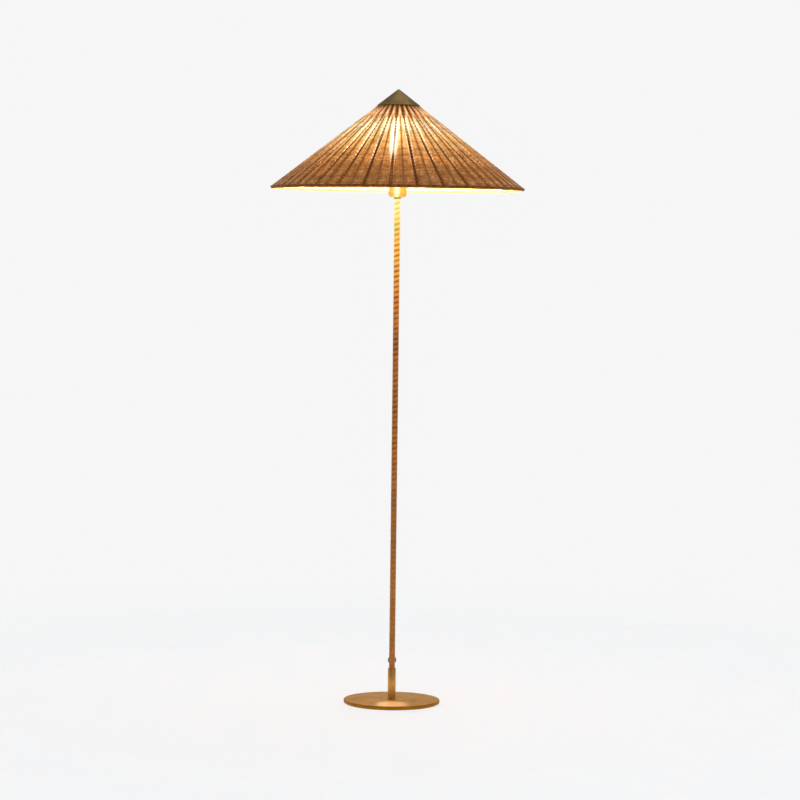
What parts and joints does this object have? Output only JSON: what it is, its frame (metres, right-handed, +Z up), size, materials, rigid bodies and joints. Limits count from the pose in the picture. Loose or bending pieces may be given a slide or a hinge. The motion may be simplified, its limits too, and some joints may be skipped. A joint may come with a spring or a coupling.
{
  "type": "floor lamp",
  "caption": "Floor lamp with a wide woven cane cone under a small brass cap, on a slim cane-wrapped pole that rises from a flat round brass base.",
  "frame": {"origin": "middle of the base's underside, on the floor", "axes": "+Z up along the pole, -Y the front, +Y the cord outlet at the back"},
  "size_m": [0.62, 0.62, 1.5],
  "materials": {
    "brass": "brushed, clear lacquered",
    "cap_brass": "aged satin brass",
    "dark_brass": "dark burnished",
    "steel": "zinc plated",
    "cane": "natural peeled cane, woven",
    "rib_cane": "round cane, weathered",
    "wrap_cane": "flat cane with a satin skin",
    "felt": "felt",
    "porcelain": "glazed",
    "bakelite": "moulded",
    "outlet": "satin",
    "cable": "matt",
    "bulb_cap": "satin",
    "bulb_glass": "frosted, lit warm white"
  },
  "bodies": {
    "stand": {"base_felt": "felt", "base_plate": "brass", "base_washer": "steel", "base_nut": "steel", "base_nipple": "steel", "stem_tube": "brass", "stem_plug": "brass", "stem_bush": "brass", "pole_tube": "steel", "cane_wrap_1": "wrap_cane", "cane_wrap_2": "wrap_cane", "cane_wrap_3": "wrap_cane", "cane_wrap_4": "wrap_cane", "cane_wrap_5": "wrap_cane", "cord_outlet_boss": "outlet", "cord_outlet_bush": "bakelite", "inner_lead": "cable", "pole_collar": "dark_brass", "holder_cup": "brass", "cup_locknut": "steel", "holder_insert": "porcelain", "screw_shell": "brass", "centre_contact": "brass", "terminal_screw_left": "brass", "terminal_screw_right": "brass", "shade_ring_lower": "bakelite"},
    "shade": {"shade_weave": "cane", "shade_ribs": "rib_cane", "rim_hoop": "cane", "shade_frame": "steel", "shade_spider": "steel", "shade_cap": "cap_brass"},
    "shade_ring": {"shade_ring_upper": "bakelite"},
    "bulb": {"bulb_cap": "bulb_cap", "bulb_glass": "bulb_glass"},
    "cap_nut": {"cap_nut": "brass"}
  },
  "joints": [
    {"name": "shade_turn", "type": "hinge", "parent": "stand", "child": "shade", "pos_m": [0, 0, 1.3], "axis": [0, 0, 1], "continuous": true},
    {"name": "shade_ring_turn", "type": "hinge", "parent": "stand", "child": "shade_ring", "pos_m": [0, 0, 1.3], "axis": [0, 0, 1], "continuous": true},
    {"name": "bulb_turn", "type": "hinge", "parent": "stand", "child": "bulb", "pos_m": [0, 0, 1.3], "axis": [0, 0, 1], "continuous": true},
    {"name": "cap_nut_turn", "type": "hinge", "parent": "shade", "child": "cap_nut", "pos_m": [0, 0, 1.45], "axis": [0, 0, 1], "continuous": true}
  ]
}
